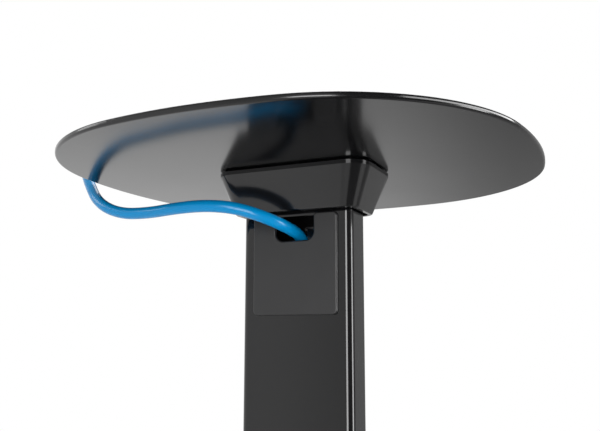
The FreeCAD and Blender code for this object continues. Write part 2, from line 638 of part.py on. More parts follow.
foot_pad = new_body("foot_pad")
stand_at_foot(foot_pad, "0")
foot_outline = new_sketch(foot_pad, "foot_outline")
draw_circle(foot_outline, "dims.foot_pad_radius")
foot_taper = pad(foot_pad, foot_outline, "dims.foot_pad_height")
bind(foot_taper, {"TaperAngle": "-1 * dims.foot_pad_taper"})
doc.recompute()
foot_top = size("dims.foot_pad_height")
fillet(foot_pad, foot_taper, lambda box: is_level(box, 0) or is_level(box, foot_top), "dims.foot_pad_round")
stud_seat = new_sketch(foot_pad, "stud_seat", offset="dims.foot_pad_height")
draw_circle(stud_seat, "dims.foot_stud_radius - dims.thread_fit")
pocket(foot_pad, stud_seat, "dims.foot_stud_buried")
name_feet(foot_pad, "foot_pad")

STUD_LENGTH = f"({BASE_TOP} + {LOCK_NUT_HEIGHT} - dims.foot_pad_height + dims.foot_stud_buried)"
stud_rod = doc.addObject("Part::Cylinder", "stud_rod")
stud_point = doc.addObject("Part::Cone", "stud_point")
stud_recess = doc.addObject("Part::Prism", "stud_recess")
stud_recess.Polygon = 6
bind(stud_rod, {"Radius": "dims.foot_stud_radius - dims.thread_fit",
                "Height": f"{STUD_LENGTH} - dims.foot_pad_round"})
bind(stud_point, {"Radius1": "dims.foot_stud_radius - dims.thread_fit",
                  "Radius2": "dims.foot_stud_radius - dims.foot_pad_round",
                  "Height": "dims.foot_pad_round"})
bind(stud_recess, {"Circumradius": "dims.hex_socket_radius", "Height": "2 * dims.hex_socket_depth"})
stand_at_foot(stud_rod, "dims.foot_pad_height - dims.foot_stud_buried")
stand_at_foot(stud_point, f"{BASE_TOP} + {LOCK_NUT_HEIGHT} - dims.foot_pad_round")
stand_at_foot(stud_recess, f"{BASE_TOP} + {LOCK_NUT_HEIGHT} - 2 * dims.hex_socket_depth")
stud_solid = doc.addObject("Part::Fuse", "stud_solid")
stud_solid.Base = stud_rod
stud_solid.Tool = stud_point
stud = doc.addObject("Part::Cut", "stud")
stud.Base = stud_solid
stud.Tool = stud_recess
name_feet(stud, "foot_stud")

lock_nut = new_body("lock_nut")
stand_at_foot(lock_nut, BASE_TOP)
nut_outline = new_sketch(lock_nut, "nut_outline")
draw_circle(nut_outline, "dims.lock_nut_radius")
nut_pad = pad(lock_nut, nut_outline, LOCK_NUT_HEIGHT)
nut_top = size(LOCK_NUT_HEIGHT)
fillet(lock_nut, nut_pad, lambda box: is_level(box, nut_top), "dims.foot_pad_round")
nut_bore = new_sketch(lock_nut, "nut_bore", offset=LOCK_NUT_HEIGHT)
draw_circle(nut_bore, "dims.foot_stud_radius")
pocket(lock_nut, nut_bore, LOCK_NUT_HEIGHT)
nut_flute = new_sketch(lock_nut, "nut_flute", offset=LOCK_NUT_HEIGHT)
draw_circle(nut_flute, "dims.lock_nut_flute_radius", "dims.lock_nut_radius + dims.lock_nut_flute_radius / 3")
flute_cut = pocket(lock_nut, nut_flute, LOCK_NUT_HEIGHT)
flutes = lock_nut.newObject("PartDesign::PolarPattern", "flutes")
flutes.Originals = [flute_cut]
flutes.Axis = (next(axis for axis in lock_nut.Origin.OriginFeatures if axis.Role == "Z_Axis"), [""])
flutes.Angle = 360
flutes.setExpression("Occurrences", "dims.lock_nut_flutes")
lock_nut.Tip = flutes
doc.recompute()
group_of_four(lock_nut, "lock_nuts")


# ---------------------------------------------------------------- the lead

LEAD_RADIUS = size("dims.lead_diameter") / 2
BASE_TOP_LEVEL = size(BASE_TOP)
PLATE_UNDERSIDE_LEVEL = size(PLATE_UNDERSIDE)
SEAM_Y = -size("dims.post_depth / 2 + dims.seat_gap + dims.cover_thickness + dims.lead_gap")
COIL_PITCH = size("dims.lead_diameter + dims.coil_gap")
COIL_LEVEL = size("dims.lead_diameter / 2 + dims.tie_thickness + dims.tie_gap")
PLUG_LEVEL = size("dims.boot_end_radius")
ON_TOP_PLATE = size("dims.top_plate_thickness") + PLUG_LEVEL

# Free stretch from the upper cover: out of the notch, left, past the plate's rim and down on the plate.
# Heights are counted from the plate's underside.
UPPER_ROUTE = [
    (-1.2, SEAM_Y, -33.6), (-2.7, -22.9, -31.8), (-7.1, -34.8, -29.2), (-17.4, -46.8, -26.3),
    (-32.1, -54.0, -25.2), (-50.0, -54.5, -26.2), (-73.0, -48.0, -25.6), (-98.0, -37.0, -21.4),
    (-119.0, -24.0, -13.8), (-139.5, -13.5, -1.0), (-153.0, -1.0, 12.3), (-156.1, 12.7, 26.1),
    (-150.3, 27.9, 37.1), (-137.5, 42.1, 41.9), (-118.0, 52.3, 40.1), (-95.3, 53.2, 30.1),
    (-77.0, 56.5, 14.5), (-57.0, 61.5, ON_TOP_PLATE), (-38.0, 65.5, ON_TOP_PLATE),
]
# Free stretch from the lower cover over the collar down to the coil, counted from the base plate.
LOWER_ROUTE = [
    (1.4, SEAM_Y, 33.6), (1.4, -22.8, 31.5), (1.4, -34.7, 26.2), (1.4, -47.3, 16.9),
    (1.4, -61.4, 9.3), (1.4, -77.0, COIL_LEVEL), (1.4, -92.0, COIL_LEVEL),
]
# From the coil's upper layer down beside it to the plug, counted from the base plate.
TAIL_ROUTE = [
    (1.4, -92.0, COIL_LEVEL + COIL_PITCH), (1.4, -102.0, COIL_LEVEL + COIL_PITCH), (5.5, -114.0, 10.0),
    (15.5, -123.0, 7.0), (29.5, -127.0, PLUG_LEVEL), (44.0, -124.0, PLUG_LEVEL),
]


def raised(route, level):
    return [Vector(x, y, z + level) for x, y, z in route]


def rounded_path(points, end_share, name):
    """Straight runs joined by tangent arcs that are as large as the runs beside them allow."""
    edges = []
    radii = []
    start = points[0]
    last_corner = len(points) - 2
    for index in range(1, len(points) - 1):
        corner = points[index]
        arriving = corner - points[index - 1]
        leaving = points[index + 1] - corner
        share_in = end_share if index == 1 else 0.45
        share_out = end_share if index == last_corner else 0.45
        tangent = min(share_in * arriving.Length, share_out * leaving.Length)
        turn = arriving.getAngle(leaving)
        radius = tangent / math.tan(turn / 2)
        radii.append(radius)
        inward = (leaving.normalize() - arriving.normalize()).normalize()
        arc_start = corner - arriving * tangent
        arc_end = corner + leaving * tangent
        arc_middle = corner + inward * (radius / math.cos(turn / 2) - radius)
        edges.append(Part.LineSegment(start, arc_start).toShape())
        edges.append(Part.Arc(arc_start, arc_middle, arc_end).toShape())
        start = arc_end
    edges.append(Part.LineSegment(start, points[-1]).toShape())
    print(f"{name}: arc radii {', '.join(f'{radius:.0f}' for radius in radii)} mm")
    return Part.Wire(edges)


def sweep_lead(path, label):
    """Round tube along a path, with its volume compared with its section times its length."""
    first_edge = path.Edges[0]
    heading = first_edge.tangentAt(first_edge.FirstParameter)
    section = Part.Wire(Part.Circle(first_edge.Vertexes[0].Point, heading, LEAD_RADIUS).toShape())
    shell = Part.BRepOffsetAPI.MakePipeShell(path)
    shell.add(section)
    shell.build()
    shell.makeSolid()
    tube = doc.addObject("Part::Feature", label)
    tube.Shape = shell.shape()
    expected = math.pi * LEAD_RADIUS ** 2 * path.Length
    print(f"{label}: {path.Length:.0f} mm long, volume {tube.Shape.Volume / expected:.4f} of section x length")
    return finish_part(tube, label)


upper_route = raised(UPPER_ROUTE, PLATE_UNDERSIDE_LEVEL)
lower_route = raised(LOWER_ROUTE, BASE_TOP_LEVEL)
tail_route = raised(TAIL_ROUTE, BASE_TOP_LEVEL)
sweep_lead(rounded_path(upper_route, 0.45, "lead_upper"), "lead_upper")
sweep_lead(rounded_path(lower_route, 0.45, "lead_lower"), "lead_lower")
sweep_lead(rounded_path(tail_route, 0.45, "lead_tail"), "lead_tail")

# Inside the post the lead stands against the back wall and bends forward to both notches.
lead_back = size("dims.post_depth / 2 - dims.post_wall - dims.lead_back_gap") - LEAD_RADIUS
bends = []
for route in (lower_route, upper_route):
    outward = route[1] - route[0]
    bends.append(route[0] - outward * ((lead_back - SEAM_Y) / abs(outward.y)))
inside_route = [lower_route[0], bends[0], bends[1], upper_route[0]]
sweep_lead(rounded_path(inside_route, 0.9, "lead_inside"), "lead_inside")


# ---------------------------------------------------------------- the put-away coil and its tie

LAYER_TURNS = size("dims.coil_turns_per_layer")
COIL_RADIUS = size("dims.coil_outer_radius")
CLIMB_TURNS = 0.5
COIL_TURNS = 2 * LAYER_TURNS + CLIMB_TURNS
QUARTER_TURN = 0.25
coil_start = lower_route[-1]
coil_middle = Vector(coil_start.x - COIL_RADIUS, coil_start.y, coil_start.z)


def coil_point(turn):
    """Place on the coil: inwards on the lower layer, half a turn of climb, outwards on the upper one."""
    if turn <= LAYER_TURNS:
        radius = COIL_RADIUS - COIL_PITCH * turn
        rise = 0.0
    elif turn <= LAYER_TURNS + CLIMB_TURNS:
        part = (turn - LAYER_TURNS) / CLIMB_TURNS
        radius = COIL_RADIUS - COIL_PITCH * (LAYER_TURNS + CLIMB_TURNS * part * (1 - part))
        rise = COIL_PITCH * part * part * (3 - 2 * part)
    else:
        radius = COIL_RADIUS - COIL_PITCH * (2 * LAYER_TURNS + CLIMB_TURNS - turn)
        rise = COIL_PITCH
    angle = -2 * math.pi * turn
    return coil_middle + Vector(radius * math.cos(angle), radius * math.sin(angle), rise)


def coil_heading(turn, step=1e-4):
    """Heading of the coil, which leaves and meets the free stretches straight towards the front."""
    if turn in (0, COIL_TURNS):
        return Vector(0, -1, 0)
    return (coil_point(turn + step) - coil_point(turn - step)).normalize()


def arc_from(point, heading, far_point):
    """Middle of the arc that leaves a point along a heading and ends at the far point."""
    chord = far_point - point
    half_turn = heading.getAngle(chord)
    sideways = chord.cross(heading).cross(chord).normalize()
    return point + chord * 0.5 + sideways * (chord.Length / 2 * math.tan(half_turn / 2))


def biarc(start, start_heading, end, end_heading):
    """Two arcs that leave start and reach end along the given headings and join smoothly between them."""
    chord = end - start
    headings = start_heading + end_heading
    spread = 2 * (1 - start_heading.dot(end_heading))
    along = chord.dot(headings)
    reach = (math.sqrt(along * along + spread * chord.dot(chord)) - along) / spread
    join = (start + start_heading * reach + end - end_heading * reach) * 0.5
    first = Part.Arc(start, arc_from(start, start_heading, join), join)
    second = Part.Arc(join, arc_from(end, end_heading * -1, join), end)
    return [first.toShape(), second.toShape()]


coil_edges = []
for quarter in range(round(COIL_TURNS / QUARTER_TURN)):
    turn = quarter * QUARTER_TURN
    next_turn = turn + QUARTER_TURN
    coil_edges += biarc(coil_point(turn), coil_heading(turn), coil_point(next_turn), coil_heading(next_turn))
coil_path = Part.Wire(coil_edges)
sweep_lead(coil_path, "lead_coil")

SAMPLES = 480
HALF_TURN_SAMPLES = round(SAMPLES / COIL_TURNS / 2)
coil_samples = coil_path.discretize(Number=SAMPLES)
least_gap = min((near - far).Length for index, near in enumerate(coil_samples)
                for far in coil_samples[index + HALF_TURN_SAMPLES:])
print(f"lead_coil: {COIL_TURNS} turns, least gap to itself {least_gap - 2 * LEAD_RADIUS:.2f} mm")

tie = new_body("coil_tie")
tie.setExpression("Placement.Base.z", None)
tie.Placement.Base = coil_middle
tie_radii = [(coil_point(turn) - coil_middle).x for turn in (0.5, 1.5)]
tie_middle = f"({(min(tie_radii) + max(tie_radii)) / 2:.4f})"
tie_inside = f"({max(tie_radii) - min(tie_radii):.4f} + dims.lead_diameter + 2 * dims.tie_gap)"
tie_height = f"({COIL_PITCH:.4f} + dims.lead_diameter + 2 * dims.tie_gap)"
tie_section = new_sketch(tie, "tie_section", role="XZ_Plane")
for tag, wall in (("_inner", "0"), ("_outer", "dims.tie_thickness")):
    draw_rounded_rectangle(tie_section, f"{tie_inside} + 2 * {wall}", f"{tie_height} + 2 * {wall}",
                           f"dims.lead_diameter / 2 + {wall}", f"{COIL_PITCH / 2:.4f}", tie_middle, tag=tag)
tie_band = tie.newObject("PartDesign::Revolution", "tie_band")
tie_band.Profile = tie_section
tie_band.ReferenceAxis = (tie_section, ["V_Axis"])
tie_band.Midplane = True
tie_band.setExpression("Angle", f"dims.tie_width / {COIL_RADIUS - COIL_PITCH:.4f} * 180 / pi")
doc.recompute()
finish_part(tie, "coil_tie")


# ---------------------------------------------------------------- plugs

CONTACTS = 8


def contact_boxes(name, width):
    """A row of blades, or of their slots, in the underside of the plug's nose."""
    boxes = []
    for number in range(CONTACTS):
        box = doc.addObject("Part::Box", f"{name}_{number}")
        from_middle = number - (CONTACTS - 1) / 2
        bind(box, {"Length": "dims.contact_length",
                   "Width": width,
                   "Height": "dims.contact_depth",
                   "Placement.Base.x": "dims.boot_length + dims.plug_length - dims.contact_length",
                   "Placement.Base.y": f"{from_middle} * dims.contact_pitch - {width} / 2",
                   "Placement.Base.z": "-1 * dims.plug_height / 2"})
        boxes.append(box)
    row = doc.addObject("Part::Compound", name)
    row.Links = boxes
    return row


def make_plug(end, route):
    """Eight-way modular plug with a latch, gilt blades and a tapered boot, in line with the lead's end."""
    tip = route[-1]
    heading = tip - route[-2]
    heading.z = 0
    place = Placement(tip, Rotation(Vector(1, 0, 0), heading))
    boot = doc.addObject("PartDesign::Body", end + "_plug_boot")
    boot.Placement = place
    rear = new_sketch(boot, end + "_boot_rear", role="YZ_Plane")
    draw_rounded_rectangle(rear, "2 * dims.boot_end_radius", "2 * dims.boot_end_radius",
                           "dims.boot_end_radius - dims.seat_gap")
    nose = new_sketch(boot, end + "_boot_nose", role="YZ_Plane", offset="dims.boot_length")
    draw_rounded_rectangle(nose, "dims.plug_width", "dims.plug_height", "dims.boot_edge_round")
    loft(boot, [rear, nose], "PartDesign::AdditiveLoft", end + "_boot_loft")
    finish_part(boot, end + "_plug_boot")
    shell = doc.addObject("Part::Box", end + "_plug_shell")
    bind(shell, {"Length": "dims.plug_length", "Width": "dims.plug_width", "Height": "dims.plug_height",
                 "Placement.Base.x": "dims.boot_length",
                 "Placement.Base.y": "-1 * dims.plug_width / 2",
                 "Placement.Base.z": "-1 * dims.plug_height / 2"})
    latch = doc.addObject("Part::Box", end + "_plug_latch")
    latch.Placement = Placement(Vector(), Rotation(Vector(0, 1, 0), size("dims.latch_slope")))
    latch_nose = "dims.boot_length + dims.plug_length - dims.latch_root"
    bind(latch, {"Length": "dims.latch_length", "Width": "dims.latch_width", "Height": "dims.latch_thickness",
                 "Placement.Base.x": f"{latch_nose} - dims.latch_length * cos(dims.latch_slope)",
                 "Placement.Base.y": "-1 * dims.latch_width / 2",
                 "Placement.Base.z": "dims.plug_height / 2 - dims.latch_thickness"
                                     " + dims.latch_length * sin(dims.latch_slope)"})
    body = doc.addObject("Part::Fuse", end + "_plug_body")
    body.Base = shell
    body.Tool = latch
    plug = doc.addObject("Part::Cut", end + "_plug")
    plug.Base = body
    plug.Tool = contact_boxes(end + "_plug_slots", "dims.contact_slot")
    blades = contact_boxes(end + "_plug_contacts", "dims.contact_blade")
    plug.Placement = place
    blades.Placement = place
    finish_part(plug, end + "_plug")
    finish_part(blades, end + "_plug_contacts")


make_plug("upper", upper_route)
make_plug("lower", tail_route)


# ---------------------------------------------------------------- checks and files

doc.recompute()
for item in doc.Objects:
    if "Invalid" in item.State or "Error" in item.State:
        raise RuntimeError(f"{item.Label} failed: {item.State}")
os.makedirs("parts", exist_ok=True)
for item in sub_parts:
    if item.Shape.isNull() or not item.Shape.isValid():
        raise RuntimeError(f"{item.Label} has no valid shape")
    item.Shape.exportStep(f"parts/{item.Label}.step")
print(f"{len(sub_parts)} pieces written")
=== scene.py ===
import math
import bpy
from mathutils import Matrix, Vector


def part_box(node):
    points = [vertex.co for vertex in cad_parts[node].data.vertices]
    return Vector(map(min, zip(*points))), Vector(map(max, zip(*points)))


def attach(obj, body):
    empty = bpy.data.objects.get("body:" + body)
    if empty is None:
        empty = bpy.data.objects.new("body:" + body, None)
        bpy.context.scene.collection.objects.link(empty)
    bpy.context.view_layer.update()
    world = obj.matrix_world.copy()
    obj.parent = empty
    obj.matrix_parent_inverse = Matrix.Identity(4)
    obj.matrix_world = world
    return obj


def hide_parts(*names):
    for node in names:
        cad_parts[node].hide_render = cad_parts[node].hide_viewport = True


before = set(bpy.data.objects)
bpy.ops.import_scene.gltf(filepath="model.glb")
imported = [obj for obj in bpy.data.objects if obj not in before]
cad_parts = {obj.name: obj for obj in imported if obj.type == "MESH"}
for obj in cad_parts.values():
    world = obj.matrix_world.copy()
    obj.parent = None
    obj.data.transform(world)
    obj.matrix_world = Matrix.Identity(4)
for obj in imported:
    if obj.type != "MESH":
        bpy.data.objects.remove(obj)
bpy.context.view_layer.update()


# Plates: steel, laser cut, their rims rounded over and powder coated in gloss black.
# The coat is all but black, so what shows on it is the mirror image of the studio,
# softened by its orange peel.

def colour(hex_code):
    """sRGB hex colour as linear RGBA."""
    channels = [int(hex_code[place:place + 2], 16) / 255 for place in (1, 3, 5)]
    linear = [value / 12.92 if value <= 0.04045 else ((value + 0.055) / 1.055) ** 2.4
              for value in channels]
    return (*linear, 1.0)


def add_node(tree, kind, inputs=None, **settings):
    """Add a node; an input is set to a value or linked to the socket that it is given."""
    node = tree.nodes.new(kind)
    for name, value in settings.items():
        setattr(node, name, value)
    for name, value in (inputs or {}).items():
        if isinstance(value, bpy.types.NodeSocket):
            tree.links.new(value, node.inputs[name])
        else:
            node.inputs[name].default_value = value
    return node


def new_material(name, **sockets):
    """Material with one Principled shader, whose own sockets are given."""
    material = bpy.data.materials.new(name)
    material.use_nodes = True
    shader = material.node_tree.nodes["Principled BSDF"]
    for socket, value in sockets.items():
        shader.inputs[socket.replace("_", " ")].default_value = value
    return material, shader


MM_PER_METRE = 1000
GRAINS_PER_CELL = 2
NOISE_LOW, NOISE_HIGH = 0.3, 0.7


def grain(tree, grain_mm, detail=3.0):
    """Even noise whose grains are about as large as given."""
    place = add_node(tree, "ShaderNodeTexCoord")
    noise = add_node(tree, "ShaderNodeTexNoise", {
        "Vector": place.outputs["Object"],
        "Scale": MM_PER_METRE / (GRAINS_PER_CELL * grain_mm), "Detail": detail})
    return noise.outputs["Fac"]


def raise_grain(shader, grain_mm, height_mm, detail=3.0):
    """Raise an even grain of a real size and height on the surface."""
    tree = shader.id_data
    relief = add_node(tree, "ShaderNodeBump", {
        "Height": grain(tree, grain_mm, detail), "Distance": height_mm / MM_PER_METRE})
    tree.links.new(relief.outputs["Normal"], shader.inputs["Normal"])


def uneven_gloss(shader, patch_mm, smoothest, roughest):
    """Let the roughness wander between two limits, in patches of a real size."""
    tree = shader.id_data
    roughness = add_node(tree, "ShaderNodeMapRange", {
        "Value": grain(tree, patch_mm), "From Min": NOISE_LOW, "From Max": NOISE_HIGH,
        "To Min": smoothest, "To Max": roughest})
    tree.links.new(roughness.outputs["Result"], shader.inputs["Roughness"])


def finish(material, *names):
    """Give the finish to CAD nodes, in place of what they were packed with."""
    for name in names:
        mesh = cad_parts[name].data
        mesh.materials.clear()
        mesh.materials.append(material)


powder_coat, coat_shader = new_material(
    "black_powder_coat", Base_Color=colour("#0d0d0e"), IOR=1.5)
raise_grain(coat_shader, grain_mm=1.6, height_mm=0.001, detail=1.0)
uneven_gloss(coat_shader, patch_mm=25, smoothest=0.13, roughest=0.17)
finish(powder_coat, "base_plate", "top_plate")


# Screws: M5 countersunk steel, blackened where they show, zinc plated where the collars
# hide them. Black oxide is a thin dull film over metal; zinc is bright, with a fine
# tumbled grain. The studs of the feet are zinc plated too.

black_oxide, oxide_shader = new_material(
    "black_oxide_steel", Base_Color=colour("#2b2b2d"), Metallic=1.0)
uneven_gloss(oxide_shader, patch_mm=0.6, smoothest=0.32, roughest=0.46)
finish(black_oxide, "plate_screws", "base_screws")

zinc, zinc_shader = new_material(
    "zinc_plated_steel", Base_Color=colour("#c4c6c8"), Metallic=1.0)
uneven_gloss(zinc_shader, patch_mm=0.5, smoothest=0.24, roughest=0.36)
FOOT_PLACES = ("back_right", "back_left", "front_left", "front_right")
finish(zinc, "post_top_screws", "post_bottom_screws",
       *[f"foot_stud_{place}" for place in FOOT_PLACES])


# Levelling feet and anti-slip pads: moulded rubber, matt black, with a fine spark-eroded
# grain. The feet are moulded round the heads of the studs; the pads are glued to the
# top plate.

rubber, rubber_shader = new_material("moulded_rubber", Base_Color=colour("#1d1d1e"), IOR=1.52)
raise_grain(rubber_shader, grain_mm=0.25, height_mm=0.03)
uneven_gloss(rubber_shader, patch_mm=3, smoothest=0.62, roughest=0.78)
finish(rubber, "top_pads", *[f"foot_pad_{place}" for place in FOOT_PLACES])


# Lock nuts: fluted steel nuts, black nickel plated, screwed down on the base plate by hand.
# The plating follows the turned surface, so it is dark and half bright.

black_nickel, nickel_shader = new_material(
    "black_nickel_nuts", Base_Color=colour("#3a3a3d"), Metallic=1.0)
uneven_gloss(nickel_shader, patch_mm=0.8, smoothest=0.28, roughest=0.4)
finish(black_nickel, "lock_nuts")


# Brackets: zinc die castings at both ends of the post, blasted and coated matt black.
# Only slivers of them show, inside the collars' mouths.

cast_coat, cast_shader = new_material(
    "blasted_die_casting", Base_Color=colour("#262627"), IOR=1.5)
raise_grain(cast_shader, grain_mm=0.5, height_mm=0.05)
uneven_gloss(cast_shader, patch_mm=4, smoothest=0.5, roughest=0.65)
finish(cast_coat, "head_bracket", "foot_bracket")


# Post: extruded aluminium, sprayed black and lacquered. Its corners mirror the lamps as
# thin lines, and faint draw lines of the extrusion run along it under the lacquer.

lacquer, lacquer_shader = new_material(
    "lacquered_aluminium", Base_Color=colour("#0d0d0e"), IOR=1.5)
DRAW_LINE_MM, DRAW_LINE_HEIGHT_MM = 0.7, 0.0001
LENGTHWISE = 0.004
extrusion = lacquer.node_tree
on_post = add_node(extrusion, "ShaderNodeTexCoord")
drawn_out = add_node(extrusion, "ShaderNodeMapping", {
    "Vector": on_post.outputs["Object"], "Scale": (1, 1, LENGTHWISE)})
draw_lines = add_node(extrusion, "ShaderNodeTexNoise", {
    "Vector": drawn_out.outputs["Vector"],
    "Scale": MM_PER_METRE / (GRAINS_PER_CELL * DRAW_LINE_MM), "Detail": 2.0})
line_relief = add_node(extrusion, "ShaderNodeBump", {
    "Height": draw_lines.outputs["Fac"], "Distance": DRAW_LINE_HEIGHT_MM / MM_PER_METRE})
extrusion.links.new(line_relief.outputs["Normal"], lacquer_shader.inputs["Normal"])
uneven_gloss(lacquer_shader, patch_mm=30, smoothest=0.05, roughest=0.08)
finish(lacquer, "post")


# Collars: moulded ABS, satin black, hung on the brackets to hide the joints.
# The mould is polished, so they are almost as shiny as the lacquer, but softer in their
# reflections.

moulded_abs, abs_shader = new_material("moulded_abs", Base_Color=colour("#0f0f10"), IOR=1.54)
uneven_gloss(abs_shader, patch_mm=12, smoothest=0.1, roughest=0.14)
finish(moulded_abs, "upper_collar", "lower_collar")


# Cable covers: moulded ABS with a fine etched grain, pushed into the post's windows.
# The grain spreads the light, so they look paler than the lacquer around them.

etched_abs, etched_shader = new_material("etched_abs", Base_Color=colour("#1c1c1d"), IOR=1.54)
raise_grain(etched_shader, grain_mm=0.2, height_mm=0.006)
uneven_gloss(etched_shader, patch_mm=10, smoothest=0.32, roughest=0.4)
finish(etched_abs, "upper_cable_cover", "lower_cable_cover")


# The lead: round patch lead in a plain sheath of glossy blue PVC, extruded over its wires,
# so that soft highlights follow its bends. Its stretch inside the post is a CAD node, and
# both free stretches leave it at the covers' faces.

sheath, sheath_shader = new_material(
    "glossy_pvc_sheath", Base_Color=colour("#007fb9"), IOR=1.53, Specular_IOR_Level=0.25)
raise_grain(sheath_shader, grain_mm=2.5, height_mm=0.01)
uneven_gloss(sheath_shader, patch_mm=8, smoothest=0.16, roughest=0.24)
finish(sheath, "lead_inside")

MM = 0.001
LEAD_DIAMETER = 6.5 * MM
BASE_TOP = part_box("base_plate")[1].z
PLATE_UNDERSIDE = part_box("top_plate")[0].z
# Both notches let the lead out at the covers' faces, equally far from their plates.
EXIT_Y, EXIT_FROM_PLATE = -13.1, 33.6
UPPER_EXIT_X, LOWER_EXIT_X = -1.2, 1.4
TUBE_FACETS, CURVE_STEPS = 6, 12


def lay_lead(name, points, level):
    """Round lead on one smooth curve that its route's points pull into shape."""
    curve = bpy.data.curves.new(name, "CURVE")
    curve.dimensions = "3D"
    curve.bevel_depth = LEAD_DIAMETER / 2
    curve.bevel_resolution = TUBE_FACETS
    curve.resolution_u = CURVE_STEPS
    spline = curve.splines.new("NURBS")
    spline.points.add(len(points) - 1)
    for control, (x, y, z) in zip(spline.points, points):
        control.co = (x, y, z + level, 1)
    spline.order_u = 3
    spline.use_endpoint_u = True
    curve.materials.append(sheath)
    lead = bpy.data.objects.new(name, curve)
    bpy.context.scene.collection.objects.link(lead)
    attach(lead, "stand")
    return lead


def in_metres(route):
    return [(x * MM, y * MM, z * MM) for x, y, z in route]


# Heights of this route are from the top plate's underside.
upper_route = in_metres([
    (UPPER_EXIT_X, EXIT_Y, -EXIT_FROM_PLATE), (-2.7, -22.9, -31.8), (-8.6, -32.0, -28.8),
    (-21.0, -38.0, -24.4), (-36.0, -42.5, -22.6), (-55.0, -41.8, -22.5),
    (-79.0, -35.0, -22.6), (-100.5, -32.5, -21.0), (-119.2, -28.4, -12.8),
    (-136.0, -17.0, 2.6), (-151.0, -3.0, 14.6), (-156.1, 12.7, 26.1), (-150.3, 27.9, 37.1),
    (-137.5, 42.1, 41.9), (-118.0, 52.3, 40.1), (-95.3, 53.2, 30.1), (-77.0, 56.5, 14.5),
    (-57.0, 61.5, 7.3), (-38.0, 65.5, 7.3),
])
upper_lead = lay_lead("upper_lead", upper_route, PLATE_UNDERSIDE)
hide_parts("lead_upper")

# Heights of these two are from the base plate's top, on which the coil lies.
COIL_START_Y = -92.0
LYING, SECOND_LAYER = 4.3, 11.5
lower_route = in_metres([
    (LOWER_EXIT_X, EXIT_Y, EXIT_FROM_PLATE), (LOWER_EXIT_X, -22.8, 31.5),
    (LOWER_EXIT_X, -34.7, 26.2), (LOWER_EXIT_X, -47.3, 16.9), (LOWER_EXIT_X, -61.4, 9.3),
    (LOWER_EXIT_X, -77.0, LYING), (LOWER_EXIT_X, COIL_START_Y, LYING),
])
tail_route = in_metres([
    (LOWER_EXIT_X, COIL_START_Y, SECOND_LAYER), (LOWER_EXIT_X, -102.0, SECOND_LAYER),
    (5.5, -114.0, 10.0), (15.5, -123.0, 7.0), (29.5, -127.0, LYING), (44.0, -124.0, LYING),
])
COIL_RADIUS = 42.3 * MM
COIL_PITCH = 7.2 * MM
LAYER_TURNS = 1.75
CLIMB_TURNS = 0.5
COIL_TURNS = 2 * LAYER_TURNS + CLIMB_TURNS
POINTS_PER_TURN = 24
coil_middle = Vector((LOWER_EXIT_X * MM - COIL_RADIUS, COIL_START_Y * MM, LYING * MM))


def coil_point(turn):
    """In on the lower layer, half a turn of climb, out on the upper one."""
    if turn <= LAYER_TURNS:
        radius, rise = COIL_RADIUS - COIL_PITCH * turn, 0.0
    elif turn <= LAYER_TURNS + CLIMB_TURNS:
        climbed = (turn - LAYER_TURNS) / CLIMB_TURNS
        inward = LAYER_TURNS + CLIMB_TURNS * climbed * (1 - climbed)
        radius = COIL_RADIUS - COIL_PITCH * inward
        rise = COIL_PITCH * climbed * climbed * (3 - 2 * climbed)
    else:
        radius, rise = COIL_RADIUS - COIL_PITCH * (COIL_TURNS - turn), COIL_PITCH
    angle = -2 * math.pi * turn
    return coil_middle + Vector((radius * math.cos(angle), radius * math.sin(angle), rise))


turns = [coil_point(step / POINTS_PER_TURN)
         for step in range(1, round(COIL_TURNS * POINTS_PER_TURN))]
lower_lead = lay_lead("lower_lead", [*lower_route, *turns, *tail_route], BASE_TOP)
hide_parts("lead_lower", "lead_coil", "lead_tail")


# Coil tie: hook-and-loop strap of black nylon, woven, closed round the turns.
# Its weave is far finer than the render and is drawn coarser, as a soft, dull surface.

nylon, nylon_shader = new_material(
    "woven_nylon_strap", Base_Color=colour("#1b1b1c"), IOR=1.53, Sheen_Weight=0.4)
raise_grain(nylon_shader, grain_mm=0.4, height_mm=0.12)
uneven_gloss(nylon_shader, patch_mm=2, smoothest=0.75, roughest=0.9)
finish(nylon, "coil_tie")


# Plugs: eight-way modular plugs, clear moulded polycarbonate round gold-plated blades,
# crimped on. Their boots are soft blue PVC, moulded separately and pushed over the sheath,
# and duller than it.

polycarbonate, clear_shader = new_material(
    "clear_polycarbonate", Base_Color=colour("#e8edf0"), IOR=1.585, Roughness=0.08,
    Transmission_Weight=0.85)
raise_grain(clear_shader, grain_mm=3, height_mm=0.02)
finish(polycarbonate, "upper_plug", "lower_plug")

gold, gold_shader = new_material(
    "gold_plated_blades", Base_Color=colour("#e2b45a"), Metallic=1.0)
uneven_gloss(gold_shader, patch_mm=0.5, smoothest=0.16, roughest=0.26)
finish(gold, "upper_plug_contacts", "lower_plug_contacts")

soft_pvc, boot_shader = new_material("soft_pvc_boot", Base_Color=colour("#1583c4"), IOR=1.53)
raise_grain(boot_shader, grain_mm=0.3, height_mm=0.02)
uneven_gloss(boot_shader, patch_mm=5, smoothest=0.38, roughest=0.5)
finish(soft_pvc, "upper_plug_boot", "lower_plug_boot")


# Studio: a plain pale floor in a room that is white to the eye, with five soft lamps.
# Glossy pieces mirror the room's walls, pale on two sides and grey between, under a darker
# ceiling. The floor is kept out of mirror images, or the plate would show it, not the walls.

FLOOR_RADIUS, FLOOR_SIDES = 3.0, 96
JUST_UNDER_THE_FEET = -0.0005
bpy.ops.mesh.primitive_circle_add(vertices=FLOOR_SIDES, radius=FLOOR_RADIUS, fill_type="NGON",
                                  location=(0, 0, JUST_UNDER_THE_FEET))
floor = bpy.context.object
floor.name = "studio_floor"
pale_floor, floor_shader = new_material(
    "pale_studio_floor", Base_Color=colour("#ececec"), IOR=1.45)
uneven_gloss(floor_shader, patch_mm=20, smoothest=0.8, roughest=0.9)

